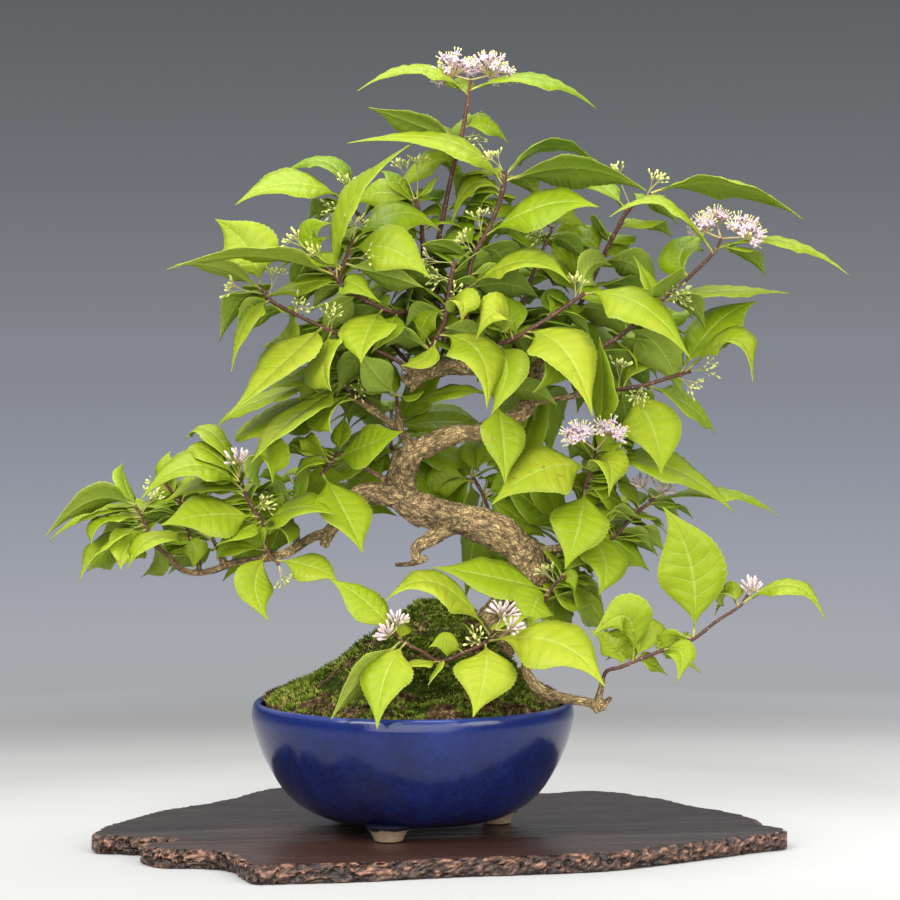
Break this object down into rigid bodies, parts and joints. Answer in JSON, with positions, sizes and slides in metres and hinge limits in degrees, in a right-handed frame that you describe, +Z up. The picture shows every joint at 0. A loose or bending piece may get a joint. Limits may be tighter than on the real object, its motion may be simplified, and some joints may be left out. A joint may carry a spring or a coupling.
{
  "type": "japanese beautyberry bonsai",
  "caption": "Japanese beautyberry bonsai with a winding trunk, bright toothed leaves and pale blossom, in a round glazed pot on a carved wooden slab.",
  "frame": {"origin": "on the underside of the slab, straight below the middle of the pot", "axes": "+X to the right of the display side, +Y away from it, +Z up"},
  "size_m": [0.3988, 0.238, 0.4009],
  "materials": {
    "lacquered_wood": "dark lacquer, satin",
    "glaze": "deep blue gloss glaze",
    "mesh": "matt",
    "soil": "rough granules",
    "moss": "rough, tufted",
    "bark": "rough bark",
    "leafy_shoot": "satin leaf",
    "blossom": "matt petals"
  },
  "bodies": {
    "root": {"stand_slab": "lacquered_wood", "pot": "glaze", "drain_mesh": "mesh", "soil": "soil", "moss": "moss", "trunk": "bark", "shoot_back_1": "leafy_shoot", "shoot_back_10": "leafy_shoot", "shoot_back_2": "leafy_shoot", "shoot_back_3": "leafy_shoot", "shoot_back_4": "leafy_shoot", "shoot_back_5": "leafy_shoot", "shoot_back_6": "leafy_shoot", "shoot_back_7": "leafy_shoot", "shoot_back_8": "leafy_shoot", "shoot_back_9": "leafy_shoot", "shoot_back_left": "leafy_shoot", "shoot_base_right": "leafy_shoot", "shoot_buds": "leafy_shoot", "shoot_centre_top": "leafy_shoot", "shoot_fork": "leafy_shoot", "shoot_front_left": "leafy_shoot", "shoot_front_low": "leafy_shoot", "shoot_front_right": "leafy_shoot", "shoot_inner_front": "leafy_shoot", "shoot_inner_left": "leafy_shoot", "shoot_leader": "leafy_shoot", "shoot_left_mid": "leafy_shoot", "shoot_left_top": "leafy_shoot", "shoot_left_up": "leafy_shoot", "shoot_loop": "leafy_shoot", "shoot_low_right": "leafy_shoot", "shoot_pad_drop": "leafy_shoot", "shoot_pad_end": "leafy_shoot", "shoot_pad_mid": "leafy_shoot", "shoot_pad_rise": "leafy_shoot", "shoot_right_long": "leafy_shoot", "shoot_right_low": "leafy_shoot", "shoot_right_mid": "leafy_shoot", "shoot_right_rise": "leafy_shoot", "shoot_right_top": "leafy_shoot", "shoot_upright": "leafy_shoot", "bloom_front_base": "blossom", "bloom_front_low": "blossom", "bloom_leader": "blossom", "bloom_low_right": "blossom", "bloom_pad": "blossom", "bloom_right_long": "blossom", "bloom_right_low": "blossom", "bloom_right_rise": "blossom"}
  },
  "joints": []
}
